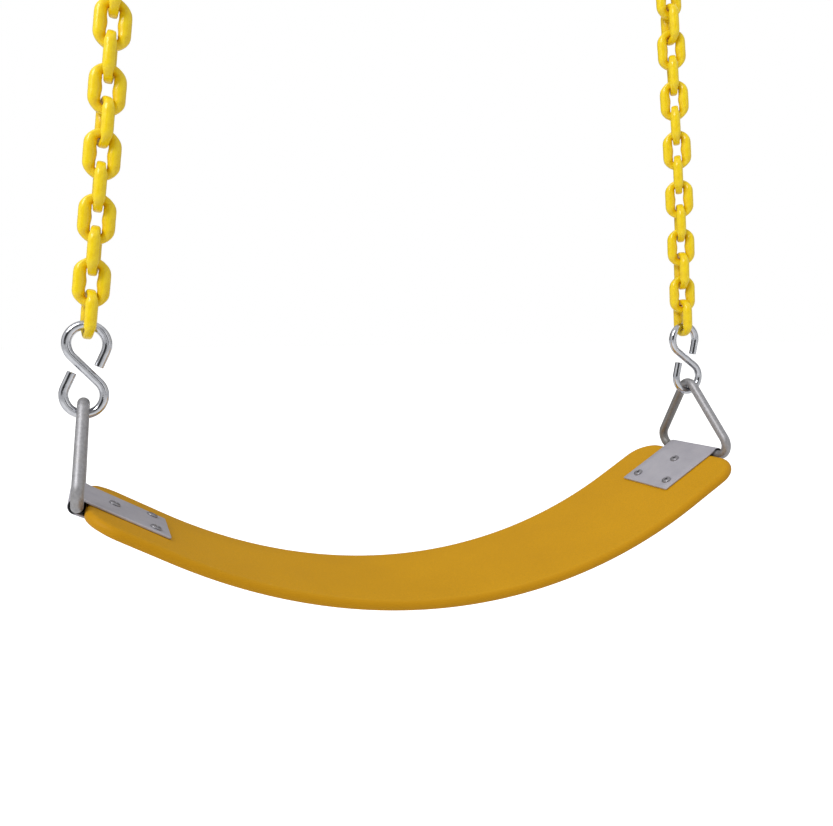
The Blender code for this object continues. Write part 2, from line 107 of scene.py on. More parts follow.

# Triangles. The right one turns darker across its back leg.
ROD_R = 0.0046
ROD_SIDES = 32
TRIANGLE_HALF_BASE = 0.0594
TRIANGLE_HEIGHT = 0.0817
TRIANGLE_BASE_BEND = 0.012
TRIANGLE_APEX_BEND = 0.010
TRIANGLE_BEND_STEPS = 20
TRIANGLE_STRAIGHT_STEPS = 14
BACK_LEG_DARKENING = 0.55
BACK_LEG_DARKENING_FROM = 0.004
BACK_LEG_DARKENING_FADE = 0.012

# Belt: straight where the plates clamp it, and one arc between them.
END_SLOPE = math.radians(30.1)
CLAMP_RUN = 0.0755
BELT_WIDTH = 0.150
BELT_THICK = 0.0085
BELT_START = 0.0065
BELT_CORNER_R = 0.028
BELT_CORNER_STEPS = 16
BELT_MIDDLE_STEPS = 90
BELT_ACROSS_STEPS = 28
BELT_RIM_R = 0.0042
BELT_RIM_STEPS = 10
# Powers of the rim's cosine: below 1 the rim is fuller than round, and its painted shade spreads wider.
BELT_RIM_FULL = 0.85
BELT_RIM_SHADE_POWER = 0.5

# Hanger plates: one sheet folded round the base bar.
SHEET = 0.0018
ROLL_R = 0.0060
LEAF_RUN = 0.0734
LEAF_START = 0.009
PLATE_WIDTH = 0.069
PLATE_CORNER_R = 0.0016
PLATE_CORNER_SHARES = (0.0, 0.08, 0.25, 0.5, 0.8, 1.0)
PLATE_EDGE_R = 0.00045
LEAF_STEPS = 24
NECK_STEPS = 4
ROLL_STEPS = 28
PLATE_ACROSS_STEPS = 10

# An edge rounded in two steps has its middle point this share of the radius in.
ROUND_SHARE = 0.3

# Rivets: each spot is the run from the base bar and the place across the belt.
RIVET_SPOTS = ((0.0268, 0.0), (0.0608, -0.0227), (0.0608, 0.0227))
RIVET_SHANK_R = 0.0029
RIVET_HEAD_R = 0.0048
RIVET_HEAD_H = 0.0016
RIVET_BORE_R = 0.52 * RIVET_SHANK_R
RIVET_LIP_WIDTH = 0.0007
RIVET_LIP_DROP = 0.0005
RIVET_LIP_STEPS = 4
RIVET_DOME_STEPS = 5
RIVET_SKIRT = 0.0002
RIVET_HEAD_UNDERCUT = 0.0001
RIVET_FOOT_UNDERCUT = 0.0002
RIVET_FLOOR_R = 0.7 * RIVET_BORE_R
RIVET_FLOOR_H = 0.0001
RIVET_WALL_FOOT = 0.0004
# How much painted shade darkens the outline's first points: the dimple's floor, its wall and the lip's foot.
DIMPLE_PAINTED_SHADE = (1.0, 1.0, 0.8, 0.5)
RIVET_SIDES = 32
RIVET_TURN = 0.7

# Snap hooks, with the gate's hinge and nose.
SNAP_WIRE_R = 0.0035
WIRE_SIDES = 28
SNAP_TOP_R = 0.0090
SNAP_TOP_Z = 0.0273
SNAP_TOP_STEPS = 36
SNAP_FOOT_R = 0.0179
SNAP_FOOT_Z = -0.0186
SNAP_FOOT_STEPS = 60
SNAP_BACK_STEPS = 16
SNAP_HINGE_STEPS = 6
SNAP_NOSE_STEPS = 4
GATE_R = 0.0034
GATE_HINGE_Z = 0.0186
GATE_REACH = 0.0271
GATE_OVERHANG = 0.0024
GATE_NOSE_OVERHANG = 0.0021
GATE_EDGE_R = 0.0005
GATE_STEPS = 8
GATE_SIDES = 32
TONGUE_HALF = 0.0013
NOSE_TONGUE_HALF = 0.0012
SLOT_HALF = 0.0016
PIN_R = 0.00085
PIN_HALF_LENGTH = 0.0031
PIN_DOME = 0.0004
PIN_DOME_STEPS = 4
PIN_HOLE_HALF_LENGTH = 0.006
PIN_SIDES = 20
HINGE_TONGUE_END = -0.00185
HINGE_CHEEK_TOP = 0.0052
NOSE_END_ABOVE_PIN = 0.0029
NOSE_CHEEK_DROP = 0.0026
NOTCH_DROP = 0.0013
NOTCH_RISE = 0.00175
NOTCH_DEPTH = 0.0013
HINGE_SLOT_FLOOR = -0.0044
NOSE_SLOT_ABOVE_PIN = 0.0035

# How the pieces hang, in degrees. A lean is outwards at the foot, and a twist is about the chain.
HOOK_LEAN = {"left": 5.5, "right": 9.04}
LINK_LEAN = {
    "left": (6.83,) * LINK_COUNT,
    "right": (4.3, 4.0, 4.2, 4.5, 4.9, 5.3, 5.7, 6.0, 6.2, 6.3, 6.4, 6.5, 6.5, 6.5),
}
LINK_TWIST = {
    "left": (10, 2, -3, 0, 3, 0, 14, 2, -2, 0, 3, 0, -2, 0),
    "right": (-10, -14, -22, -28, -34, -38, -41, -37, -41, -37, -36, -26, -14, -4),
}
SIDES = {"left": -1, "right": 1}

# Stage: the floor, and the brightness of the studio's walls by bearing in degrees, where 0 is
# +Y, behind the swing. Between the two heights of WORLD_RISE the walls turn into the top.
FLOOR_SIZE = 60.0
FLOOR_DROP = 0.35
FLOOR_WHITE = 0.92
FLOOR_BOUNCE = 0.80
FLOOR_GLOW = 0.7
FLOOR_BOUNCE_GLOW = 0.15
WORLD_WALLS = (
    (-180, 0.40), (-160, 0.04), (-135, 0.03), (-105, 1.00), (-75, 1.00), (-40, 0.22), (0, 0.12),
    (40, 0.15), (70, 0.80), (100, 0.90), (125, 0.04), (150, 0.08), (168, 1.10), (180, 0.40),
)
WORLD_RISE = (0.35, 0.75)
WORLD_TOP = 0.95
LIGHT_AIM = (0.0, 0.0, -0.45)
KEY_PLACE = (-1.5, -1.0, 1.1)
KEY_SIZE = (1.0, 1.0)
KEY_WATTS = 31.0
FILL_PLACE = (1.3, -1.3, 0.1)
FILL_SIZE = (0.8, 1.2)
FILL_WATTS = 3.0

# Camera: its place is measured from the point midway between the two base bars.
CAMERA_FROM_BARS = (-0.28546, -0.65526, 0.12860)
CAMERA_YAW = 0.38645
CAMERA_PITCH = 0.10449
CAMERA_ROLL = -0.00407
CAMERA_LENS = 33.319
CAMERA_SENSOR = 36.0
CAMERA_CLIP_START = 0.01


# ---------------------------------------------------------------- shader helpers


class Nodes:
    """A material's node tree, with short calls for the nodes used here."""

    def __init__(self, name):
        self.material = bpy.data.materials.new(name)
        self.material.use_nodes = True
        self.tree = self.material.node_tree
        self.shader = self.tree.nodes["Principled BSDF"]

    def add(self, kind, **settings):
        node = self.tree.nodes.new(kind)
        for key, value in settings.items():
            setattr(node, key, value)
        return node

    def link(self, source, target):
        self.tree.links.new(source, target)

    def place(self):
        return self.add("ShaderNodeTexCoord").outputs["Object"]

    def noise(self, scale, detail, rough):
        node = self.add("ShaderNodeTexNoise")
        node.inputs["Scale"].default_value = scale
        node.inputs["Detail"].default_value = detail
        node.inputs["Roughness"].default_value = rough
        self.link(self.place(), node.inputs["Vector"])
        return node.outputs["Fac"]

    def ramp(self, source, stops):
        node = self.add("ShaderNodeValToRGB")
        ramp = node.color_ramp
        while len(ramp.elements) < len(stops):
            ramp.elements.new(0.5)
        for element, (position, colour) in zip(ramp.elements, stops):
            element.position = position
            shade = colour if isinstance(colour, tuple) else (colour,) * 3
            element.color = (*shade, 1.0)
        self.link(source, node.inputs["Fac"])
        return node.outputs["Color"]

    def mix(self, factor, first, second, mode="MIX"):
        node = self.add("ShaderNodeMix", data_type="RGBA", blend_type=mode)
        inputs = (node.inputs[0], node.inputs[6], node.inputs[7])
        for socket, value in zip(inputs, (factor, first, second)):
            if isinstance(value, tuple):
                socket.default_value = (*value, 1.0)
            elif isinstance(value, (int, float)):
                socket.default_value = value
            else:
                self.link(value, socket)
        return node.outputs[2]

    def span(self, source, low, high):
        """The 0 to 1 source taken to low to high."""
        node = self.add("ShaderNodeMapRange")
        node.inputs["To Min"].default_value = low
        node.inputs["To Max"].default_value = high
        self.link(source, node.inputs["Value"])
        return node.outputs["Result"]

    def attribute(self, name):
        return self.add("ShaderNodeAttribute", attribute_name=name).outputs["Fac"]

    def bump(self, height, distance, strength, under=None):
        """A normal raised by height, up to distance. under is a coarser normal below it."""
        node = self.add("ShaderNodeBump")
        node.inputs["Distance"].default_value = distance
        node.inputs["Strength"].default_value = strength
        self.link(height, node.inputs["Height"])
        if under:
            self.link(under, node.inputs["Normal"])
        return node.outputs["Normal"]

    def set(self, **values):
        for key, value in values.items():
            socket = self.shader.inputs[key.replace("_", " ")]
            if isinstance(value, tuple):
                socket.default_value = (*value, 1.0)
            elif isinstance(value, (int, float)):
                socket.default_value = value
            else:
                self.link(value, socket)
        return self.material


def belt_material():
    n = Nodes("belt_rubber_look")
    broad = n.noise(scale=9.0, detail=3.0, rough=0.55)
    fine = n.noise(scale=900.0, detail=2.0, rough=0.6)
    grain = n.noise(scale=2600.0, detail=2.0, rough=0.6)
    tone = n.ramp(broad, ((0.30, (0.575, 0.288, 0.004)), (0.70, (0.625, 0.318, 0.005))))
    speck = n.ramp(fine, ((0.35, 0.90), (0.65, 1.05)))
    body = n.mix(1.0, tone, speck, "MULTIPLY")
    # Painted shade: the rim is a darker orange than the faces.
    colour = n.mix(n.attribute("rim"), body, (0.500, 0.238, 0.003))
    normal = n.bump(fine, distance=0.00008, strength=0.6)
    normal = n.bump(grain, distance=0.00004, strength=0.6, under=normal)
    return n.set(
        Base_Color=colour, Roughness=n.span(broad, 0.50, 0.62), Normal=normal, IOR=1.45,
        Specular_IOR_Level=0.16,
    )


def vinyl_material():
    n = Nodes("chain_vinyl_look")
    broad = n.noise(scale=160.0, detail=3.0, rough=0.6)
    fine = n.noise(scale=900.0, detail=2.0, rough=0.5)
    tone = n.ramp(broad, ((0.30, (0.80, 0.545, 0.004)), (0.60, (0.88, 0.650, 0.008))))
    # Painted shade: a darker amber on the links' inner side and crowns.
    colour = n.mix(n.attribute("painted_crevice_shade"), tone, (0.72, 0.370, 0.002))
    normal = n.bump(broad, distance=0.0004, strength=0.5)
    normal = n.bump(fine, distance=0.00005, strength=0.5, under=normal)
    return n.set(
        Base_Color=colour, Roughness=n.span(fine, 0.22, 0.36), Normal=normal, IOR=1.5,
        Coat_Weight=0.2, Coat_Roughness=0.15, Specular_IOR_Level=0.35,
    )


def zinc_material(name, light, dark, rough, wave):
    """Zinc plate between two tones and two roughnesses, with dents wave deep."""
    n = Nodes(name)
    broad = n.noise(scale=140.0, detail=3.0, rough=0.6)
    fine = n.noise(scale=1800.0, detail=3.0, rough=0.6)
    tone = n.ramp(broad, ((0.30, dark), (0.65, light)))
    normal = n.bump(broad, distance=wave, strength=0.5)
    normal = n.bump(fine, distance=0.00001, strength=0.6, under=normal)
    return n.set(Base_Color=tone, Metallic=1.0, Roughness=n.span(fine, *rough), Normal=normal)


def galvanised_material():
    n = Nodes("galvanised_rod_look")
    broad = n.noise(scale=45.0, detail=4.0, rough=0.6)
    spangle = n.noise(scale=420.0, detail=3.0, rough=0.6)
    fine = n.noise(scale=1600.0, detail=3.0, rough=0.6)
    tone = n.ramp(spangle, ((0.30, (0.285, 0.282, 0.296)), (0.70, (0.40, 0.397, 0.414))))
    darkening = n.ramp(broad, ((0.52, 0.0), (0.75, 0.55)))
    colour = n.mix(darkening, tone, (0.29, 0.265, 0.225))
    # The rod is darker across the back leg where the attribute says.
    colour = n.mix(n.attribute("darkening"), colour, (0.150, 0.140, 0.118))
    normal = n.bump(spangle, distance=0.00012, strength=0.6)
    normal = n.bump(fine, distance=0.00003, strength=0.6, under=normal)
    return n.set(
        Base_Color=colour, Metallic=0.7, Roughness=n.span(spangle, 0.42, 0.58), Normal=normal,
    )


def sheet_material():
    n = Nodes("plate_sheet_look")
    broad = n.noise(scale=60.0, detail=3.0, rough=0.6)
    fine = n.noise(scale=1500.0, detail=3.0, rough=0.6)
    tone = n.ramp(broad, ((0.30, (0.450, 0.438, 0.490)), (0.70, (0.520, 0.505, 0.550))))
    speck = n.ramp(fine, ((0.30, 0.93), (0.70, 1.04)))
    colour = n.mix(1.0, tone, speck, "MULTIPLY")
    # Painted shade: the sheet within the roll is near black.
    colour = n.mix(n.attribute("painted_roll_shade"), colour, (0.006, 0.006, 0.008))
    return n.set(
        Base_Color=colour, Metallic=0.45, Roughness=n.span(fine, 0.46, 0.58),
        Normal=n.bump(fine, distance=0.00003, strength=0.6),
    )


def rivet_material():
    n = Nodes("rivet_steel_look")
    fine = n.noise(scale=1500.0, detail=3.0, rough=0.6)
    tone = n.ramp(fine, ((0.30, (0.25, 0.245, 0.265)), (0.70, (0.36, 0.35, 0.375))))
    # Painted shade: the dimple is near black.
    colour = n.mix(n.attribute("dimple"), tone, (0.05, 0.045, 0.05))
    return n.set(Base_Color=colour, Metallic=0.8, Roughness=n.span(fine, 0.28, 0.42))


# ---------------------------------------------------------------- mesh helpers


def mesh_from(name, verts, faces, degrees=40, attribute=None, values=None):
    """A closed mesh, smooth where its faces meet at less than degrees."""
    mesh = bpy.data.meshes.new(name)
    mesh.from_pydata([tuple(v) for v in verts], [], faces)
    if attribute:
        layer = mesh.attributes.new(attribute, "FLOAT", "POINT")
        layer.data.foreach_set("value", values)
    shape = bmesh.new()
    shape.from_mesh(mesh)
    bmesh.ops.recalc_face_normals(shape, faces=shape.faces)
    shape.to_mesh(mesh)
    shape.free()
    mesh.shade_smooth()
    mesh.set_sharp_from_angle(angle=math.radians(degrees))
    return mesh


def sweep(name, path, ring, closed=False, attribute=None, value=None, degrees=40):
    """A tube along path, which lies in the XZ plane. ring(i) is its section there, as
    (outward, sideways) points, and value(i, k) is the attribute at its point k."""
    count = len(path)
    verts = []
    values = []
    for i, (x, z) in enumerate(path):
        before = path[i - 1] if closed or i else path[i]
        after = path[(i + 1) % count] if closed or i < count - 1 else path[i]
        along = Vector((after[0] - before[0], after[1] - before[1])).normalized()
        for k, (out, side) in enumerate(ring(i)):
            verts.append((x + along.y * out, side, z - along.x * out))
            if attribute:
                values.append(value(i, k))
    sides = len(ring(0))
    faces = []
    for i in range(count if closed else count - 1):
        j = (i + 1) % count
        for k in range(sides):
            m = (k + 1) % sides
            faces.append((i * sides + k, i * sides + m, j * sides + m, j * sides + k))
    if not closed:
        faces.append(tuple(range(sides)))
        last = (count - 1) * sides
        faces.append(tuple(range(last, last + sides)))
    return mesh_from(name, verts, faces, degrees, attribute, values)


def circle(radius, sides):
    turn = 2 * math.pi / sides
    return [(radius * math.cos(turn * k), radius * math.sin(turn * k)) for k in range(sides)]


def arc(centre, radius, start, end, steps):
    """Points from the start angle to the end angle, with both."""
    points = []
    for i in range(steps + 1):
        angle = start + (end - start) * i / steps
        points.append((centre[0] + radius * math.cos(angle), centre[1] + radius * math.sin(angle)))
    return points


def line(start, end, steps):
    """Points between start and end, without either of them."""
    points = []
    for i in range(1, steps):
        share = i / steps
        x = start[0] + (end[0] - start[0]) * share
        points.append((x, start[1] + (end[1] - start[1]) * share))
    return points


def with_cut_ends(path, radius, chamfer):
    """path and its radii, each end cut flat with a small chamfer."""
    points = [Vector(p) for p in path]
    first = (points[1] - points[0]).normalized() * chamfer
    last = (points[-2] - points[-1]).normalized() * chamfer
    points = [points[0], points[0] + first] + points[1:-1] + [points[-1] + last, points[-1]]
    radii = [radius] * len(points)
    radii[0] = radii[-1] = radius - chamfer
    return [tuple(p) for p in points], radii


def turned(name, outline, sides, attribute=None, values=None):
    """A closed turned piece about Z. outline runs from pole to pole as (radius, z)."""
    verts = [(0.0, 0.0, outline[0][1])]
    levels = [values[0]] if values else []
    for index, (radius, z) in enumerate(outline[1:-1]):
        for k in range(sides):
            angle = 2 * math.pi * k / sides
            verts.append((radius * math.cos(angle), radius * math.sin(angle), z))
            if values:
                levels.append(values[index + 1])
    verts.append((0.0, 0.0, outline[-1][1]))
    if values:
        levels.append(values[-1])
    faces = []
    for k in range(sides):
        m = (k + 1) % sides
        faces.append((0, 1 + k, 1 + m))
        for row in range(len(outline) - 3):
            here = 1 + row * sides
            there = here + sides
            faces.append((here + k, there + k, there + m, here + m))
        base = 1 + (len(outline) - 3) * sides
        faces.append((base + k, len(verts) - 1, base + m))
    return mesh_from(name, verts, faces, degrees=35, attribute=attribute, values=levels)


def box_mesh(name, low, high):
    shape = bmesh.new()
    bmesh.ops.create_cube(shape, size=1.0)
    size = Vector(high) - Vector(low)
    centre = (Vector(high) + Vector(low)) / 2
    bmesh.ops.transform(shape, matrix=Matrix.Diagonal((*size, 1.0)), verts=shape.verts)
    bmesh.ops.translate(shape, vec=centre, verts=shape.verts)
    mesh = bpy.data.meshes.new(name)
    shape.to_mesh(mesh)
    shape.free()
    return mesh


def rod_mesh(name, radius, half_length, sides):
    """A cylinder along Z, centred on the origin."""
    shape = bmesh.new()
    bmesh.ops.create_cone(
        shape, cap_ends=True, segments=sides, radius1=radius, radius2=radius, depth=2 * half_length
    )
    mesh = bpy.data.meshes.new(name)
    shape.to_mesh(mesh)
    shape.free()
    return mesh


def carve(piece, cutters, degrees):
    """Cut (mesh, matrix) pairs out of the piece, for good. It stays smooth at less than degrees."""
    holders = []
    for mesh, matrix in cutters:
        holder = bpy.data.objects.new("cutter", mesh)
        bpy.context.scene.collection.objects.link(holder)
        holder.matrix_world = matrix
        holders.append(holder)
        modifier = piece.modifiers.new("cut", "BOOLEAN")
        modifier.operation = "DIFFERENCE"
        modifier.solver = "EXACT"
        modifier.object = holder
    bpy.context.view_layer.update()
    evaluated = piece.evaluated_get(bpy.context.evaluated_depsgraph_get())
    mesh = bpy.data.meshes.new_from_object(evaluated)
    piece.modifiers.clear()
    piece.data = mesh
    mesh.shade_smooth()
    mesh.set_sharp_from_angle(angle=math.radians(degrees))
    for holder in holders:
        bpy.data.objects.remove(holder, do_unlink=True)


def add_piece(name, mesh, matrix, material):
    piece = bpy.data.objects.new(name, mesh)
    bpy.context.scene.collection.objects.link(piece)
    piece.matrix_world = matrix
    mesh.materials.clear()
    mesh.materials.append(material)
    return piece


BODY_OF = {}
for body_name, members in frame["record"]["behaviour"]["bodies"].items():
    for member in members:
        BODY_OF[member] = body_name


def stand_for(piece, node):
    """The piece rides with the node's body, and is seen in its place."""
    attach(piece, BODY_OF[node])
    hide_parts(node)


# ---------------------------------------------------------------- places


def lean_matrix(side, degrees):
    return Matrix.Rotation(-SIDES[side] * math.radians(degrees), 4, "Y")


def node_centre(node):
    low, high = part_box(node)
    return (low + high) / 2


JOINTS = {joint["name"]: joint for joint in frame["joints"]}
LEFT_BAR = Vector(JOINTS["seat_pivot"]["pos_m"])
BAR = {side: Vector((SIDES[side] * abs(LEFT_BAR.x), 0.0, LEFT_BAR.z)) for side in SIDES}
HALF_SPAN = abs(LEFT_BAR.x)
ARC_R = (HALF_SPAN - CLAMP_RUN * math.cos(END_SLOPE)) / math.sin(END_SLOPE)
BELT_LENGTH = 2 * (CLAMP_RUN + ARC_R * END_SLOPE)
TRIANGLE_HALF_APEX = math.atan2(TRIANGLE_HALF_BASE, TRIANGLE_HEIGHT)
APEX_UP = TRIANGLE_HEIGHT - TRIANGLE_APEX_BEND * (1 / math.sin(TRIANGLE_HALF_APEX) - 1)


def seat_frame(run):
    """Place on the belt's middle surface at a run from the left bar: X along it, Z its normal."""
    from_end = min(run, BELT_LENGTH - run)
    if from_end < CLAMP_RUN:
        slope = END_SLOPE
        x = from_end * math.cos(slope)
        z = -from_end * math.sin(slope)
    else:
        slope = END_SLOPE - (from_end - CLAMP_RUN) / ARC_R
        x = HALF_SPAN - ARC_R * math.sin(slope)
        z = -CLAMP_RUN * math.sin(END_SLOPE) - ARC_R * (math.cos(slope) - math.cos(END_SLOPE))
    half = -1 if run < BELT_LENGTH / 2 else 1
    place = Vector((half * (HALF_SPAN - x), 0, LEFT_BAR.z + z))
    return Matrix.Translation(place) @ Matrix.Rotation(-half * slope, 4, "Y")


def end_frame(side):
    """Frame at a base bar: X runs inwards along the belt, Z is the belt's upper normal."""
    flip = Matrix.Identity(4) if side == "left" else Matrix.Rotation(math.pi, 4, "Z")
    return Matrix.Translation(BAR[side]) @ flip @ Matrix.Rotation(END_SLOPE, 4, "Y")


# ---------------------------------------------------------------- chain


def link_path():
    """A link's centre line in the XZ plane, and how far each point is into a crown, 0 to 1."""
    straight = LINK_CROWN_Z - LINK_CENTRE_R
    path = []
    crown = []
    for end in (1, -1):
        for i in range(LINK_CROWN_STEPS + 1):
            angle = math.pi * i / LINK_CROWN_STEPS
            x = end * LINK_CENTRE_R * math.cos(angle)
            path.append((x, end * (straight + LINK_CENTRE_R * math.sin(angle))))
            share = min(1.0, max(0.0, (math.sin(angle) - CROWN_FROM) / (CROWN_FULL - CROWN_FROM)))
            crown.append(share * share * (3 - 2 * share))
        start = path[-1]
        side = line(start, (start[0], -start[1]), LINK_STRAIGHT_STEPS)
        path += side
        crown += [0.0] * len(side)
    return path, crown


def link_piece_mesh(name, seed):
    """An oval link: a thick vinyl coat, worn thin where its crowns bear."""
    straight = LINK_CROWN_Z - LINK_CENTRE_R
    path, crown = link_path()
    turn = 2 * math.pi / LINK_SIDES

    def ring(i):
        inner = LINK_SIDE_R + (LINK_CROWN_R - LINK_SIDE_R) * crown[i]
        outer = LINK_SIDE_R + (LINK_OUTER_CROWN_R - LINK_SIDE_R) * crown[i]
        height = min(1.0, abs(path[i][1]) / straight)
        fill = math.cos(math.pi / 2 * height) ** 2
        inner_depth = inner + LINK_WAIST * fill
        outer_half = LINK_SIDE_R + (LINK_OUTER_CROWN_HALF - LINK_SIDE_R) * crown[i]
        power = 1 - CROWN_SQUARE * crown[i]
        section = []
        for k in range(LINK_SIDES):
            out = math.cos(turn * k)
            across = math.sin(turn * k)
            if out > 0:
                out = out ** power
                across = math.copysign(abs(across) ** power, across)
            half = inner + (outer_half - inner) * math.sqrt(max(0.0, out))
            section.append((out * (outer if out > 0 else inner_depth), across * half))
        return section

    # Painted shade on the inner side of the section, more of it at the crowns.
    def painted_crevice_shade(i, k):
        inward = max(0.0, -math.cos(turn * k))
        return min(1.0, PAINTED_SHADE_AT_CROWNS * crown[i] * inward + PAINTED_SHADE_INSIDE * inward)

    mesh = sweep(name, path, ring, closed=True, attribute="painted_crevice_shade", value=painted_crevice_shade)
    offset = Vector([seed * shift for shift in LUMP_SHIFT])
    for vertex in mesh.vertices:
        lump = noise.noise(vertex.co * LUMP_SCALE + offset)
        lump += FINE_LUMP_SHARE * noise.noise(vertex.co * FINE_LUMP_SCALE + offset)
        vertex.co += vertex.normal * (LUMP_HEIGHT * lump)
    return mesh


def add_chains(material):
    seed = 0
    for side in SIDES:
        for i in range(LINK_COUNT):
            node = f"{side}_link_{i + 1:02d}"
            turn = LINK_TWIST[side][i] + (0 if i % 2 else 90)
            lean = lean_matrix(side, LINK_LEAN[side][i])
            spin = Matrix.Rotation(math.radians(turn), 4, "Z")
            matrix = Matrix.Translation(node_centre(node)) @ lean @ spin
            seed += 1
            mesh = link_piece_mesh(node + "_fine", seed)
            stand_for(add_piece(node + "_coated", mesh, matrix, material), node)


# ---------------------------------------------------------------- S-hooks and triangles


def s_hook_fine():
    """Two loops of round wire, one upside down below the other, each with a straight tail."""
    tangent = math.asin(HOOK_LOOP_R / HOOK_LOOP_Z)
    loop = arc(
        (0.0, HOOK_LOOP_Z), HOOK_LOOP_R, math.pi + tangent, HOOK_TAIL_ANGLE, HOOK_LOOP_STEPS
    )
    last = loop[-1]
    tail = (
        last[0] + HOOK_TAIL * math.sin(HOOK_TAIL_ANGLE),
        last[1] - HOOK_TAIL * math.cos(HOOK_TAIL_ANGLE),
    )
    upper = loop + line(last, tail, HOOK_TAIL_STEPS) + [tail]
    lower = [(-x, -z) for x, z in reversed(upper)]
    path = lower + line(lower[-1], upper[0], HOOK_MIDDLE_STEPS) + upper
    path, radii = with_cut_ends(path, HOOK_WIRE_R, HOOK_CHAMFER)
    return sweep("s_hook_fine", path, lambda i: circle(radii[i], WIRE_SIDES), degrees=30)


def triangle_fine(worn):
    """The bent rod. With worn set, it is darker down its back leg."""
    base_angle = math.atan2(TRIANGLE_HEIGHT, TRIANGLE_HALF_BASE)
    base_centre = TRIANGLE_HALF_BASE - TRIANGLE_BASE_BEND / math.tan(base_angle / 2)
    leg = math.pi / 2 - base_angle
    bends = TRIANGLE_BEND_STEPS
    right = arc((base_centre, TRIANGLE_BASE_BEND), TRIANGLE_BASE_BEND, -math.pi / 2, leg, bends)
    apex_centre = (0.0, APEX_UP - TRIANGLE_APEX_BEND)
    top = arc(apex_centre, TRIANGLE_APEX_BEND, leg, math.pi - leg, bends)
    left = [(-x, z) for x, z in reversed(right)]
    path = right + line(right[-1], top[0], TRIANGLE_STRAIGHT_STEPS)
    path += top + line(top[-1], left[0], TRIANGLE_STRAIGHT_STEPS)
    path += left + line(left[-1], right[0], TRIANGLE_STRAIGHT_STEPS)

    def section(i):
        return circle(ROD_R, ROD_SIDES)

    def darkening(i, k):
        share = min(1.0, max(0.0, (path[i][0] - BACK_LEG_DARKENING_FROM) / BACK_LEG_DARKENING_FADE))
        return worn * BACK_LEG_DARKENING * share

    return sweep("triangle_fine", path, section, closed=True, attribute="darkening", value=darkening)


def add_hangers(zinc, galvanised):
    quarter = Matrix.Rotation(math.pi / 2, 4, "Z")
    for side in SIDES:
        lean = lean_matrix(side, HOOK_LEAN[side])
        place = Matrix.Translation(node_centre(f"{side}_s_hook")) @ lean
        hook = add_piece(f"{side}_s_hook_wire", s_hook_fine(), place, zinc)
        stand_for(hook, f"{side}_s_hook")
        place = Matrix.Translation(BAR[side]) @ lean @ quarter
        rod = add_piece(f"{side}_triangle_rod", triangle_fine(side == "right"), place, galvanised)
        stand_for(rod, f"{side}_triangle")


# ---------------------------------------------------------------- seat


def belt_rows(inset):
    """(run, half width) rows of the belt's outline, moved in by inset all round."""
    corner = BELT_CORNER_R - inset
    end = []
    for i in range(BELT_CORNER_STEPS + 1):
        angle = math.pi / 2 * i / BELT_CORNER_STEPS
        run = BELT_START + inset + corner * (1 - math.cos(angle))
        half = BELT_WIDTH / 2 - inset - corner * (1 - math.sin(angle))
        end.append((run, half))
    start = end[-1][0]
    middle = []
    for i in range(1, BELT_MIDDLE_STEPS):
        run = start + (BELT_LENGTH - 2 * start) * i / BELT_MIDDLE_STEPS
        middle.append((run, BELT_WIDTH / 2 - inset))
    return end + middle + [(BELT_LENGTH - run, half) for run, half in reversed(end)]


def belt_boundary(grid):
    """The points round the edge of a grid of rows, in order."""
    front = [row[0] for row in grid]
    back = [row[-1] for row in grid]
    return front + grid[-1][1:-1] + back[::-1] + grid[0][1:-1][::-1]


def belt_outward(run, y):
    """Which way the rim faces at a point of the outline, as (along, across)."""
    corner_run = BELT_START + BELT_CORNER_R
    inner_half = BELT_WIDTH / 2 - BELT_CORNER_R
    nearest = Vector((
        min(max(run, corner_run), BELT_LENGTH - corner_run),
        min(max(y, -inner_half), inner_half),
    ))
    return (Vector((run, y)) - nearest).normalized()


def belt_fine():
    """The belt as two faces and a rounded rim, bent along the hanging curve."""
    across = BELT_ACROSS_STEPS
    flat = []
    for run, half in belt_rows(BELT_RIM_R):
        flat.append([(run, half * (2 * j / across - 1)) for j in range(across + 1)])
    verts = []
    rim = []
    faces = []

    def put(run, y, z, value):
        verts.append(seat_frame(run) @ Vector((0, y, z)))
        rim.append(value)
        return len(verts) - 1

    grids = []
    for height in (BELT_THICK / 2, -BELT_THICK / 2):
        grid = [[put(run, y, height, 0.0) for run, y in row] for row in flat]
        for here, there in zip(grid, grid[1:]):
            for j in range(across):
                faces.append((here[j], here[j + 1], there[j + 1], there[j]))
        grids.append(grid)

    outline = belt_boundary(flat)
    outwards = [belt_outward(run, y) for run, y in outline]
    loops = [belt_boundary(grids[0])]
    for step in range(1, BELT_RIM_STEPS):
        angle = math.pi / 2 - math.pi * step / BELT_RIM_STEPS
        reach = BELT_RIM_R * math.cos(angle) ** BELT_RIM_FULL
        height = BELT_THICK / 2 * math.sin(angle)
        # Painted shade on the rim, strongest where it faces straight out.
        tone = math.cos(angle) ** BELT_RIM_SHADE_POWER
        loop = []
        for (run, y), out in zip(outline, outwards):
            loop.append(put(run + out.x * reach, y + out.y * reach, height, tone))
        loops.append(loop)
    loops.append(belt_boundary(grids[1]))
    count = len(outline)
    for upper, lower in zip(loops, loops[1:]):
        for i in range(count):
            j = (i + 1) % count
            faces.append((upper[i], upper[j], lower[j], lower[i]))
    return mesh_from("belt_fine", verts, faces, degrees=60, attribute="rim", values=rim)


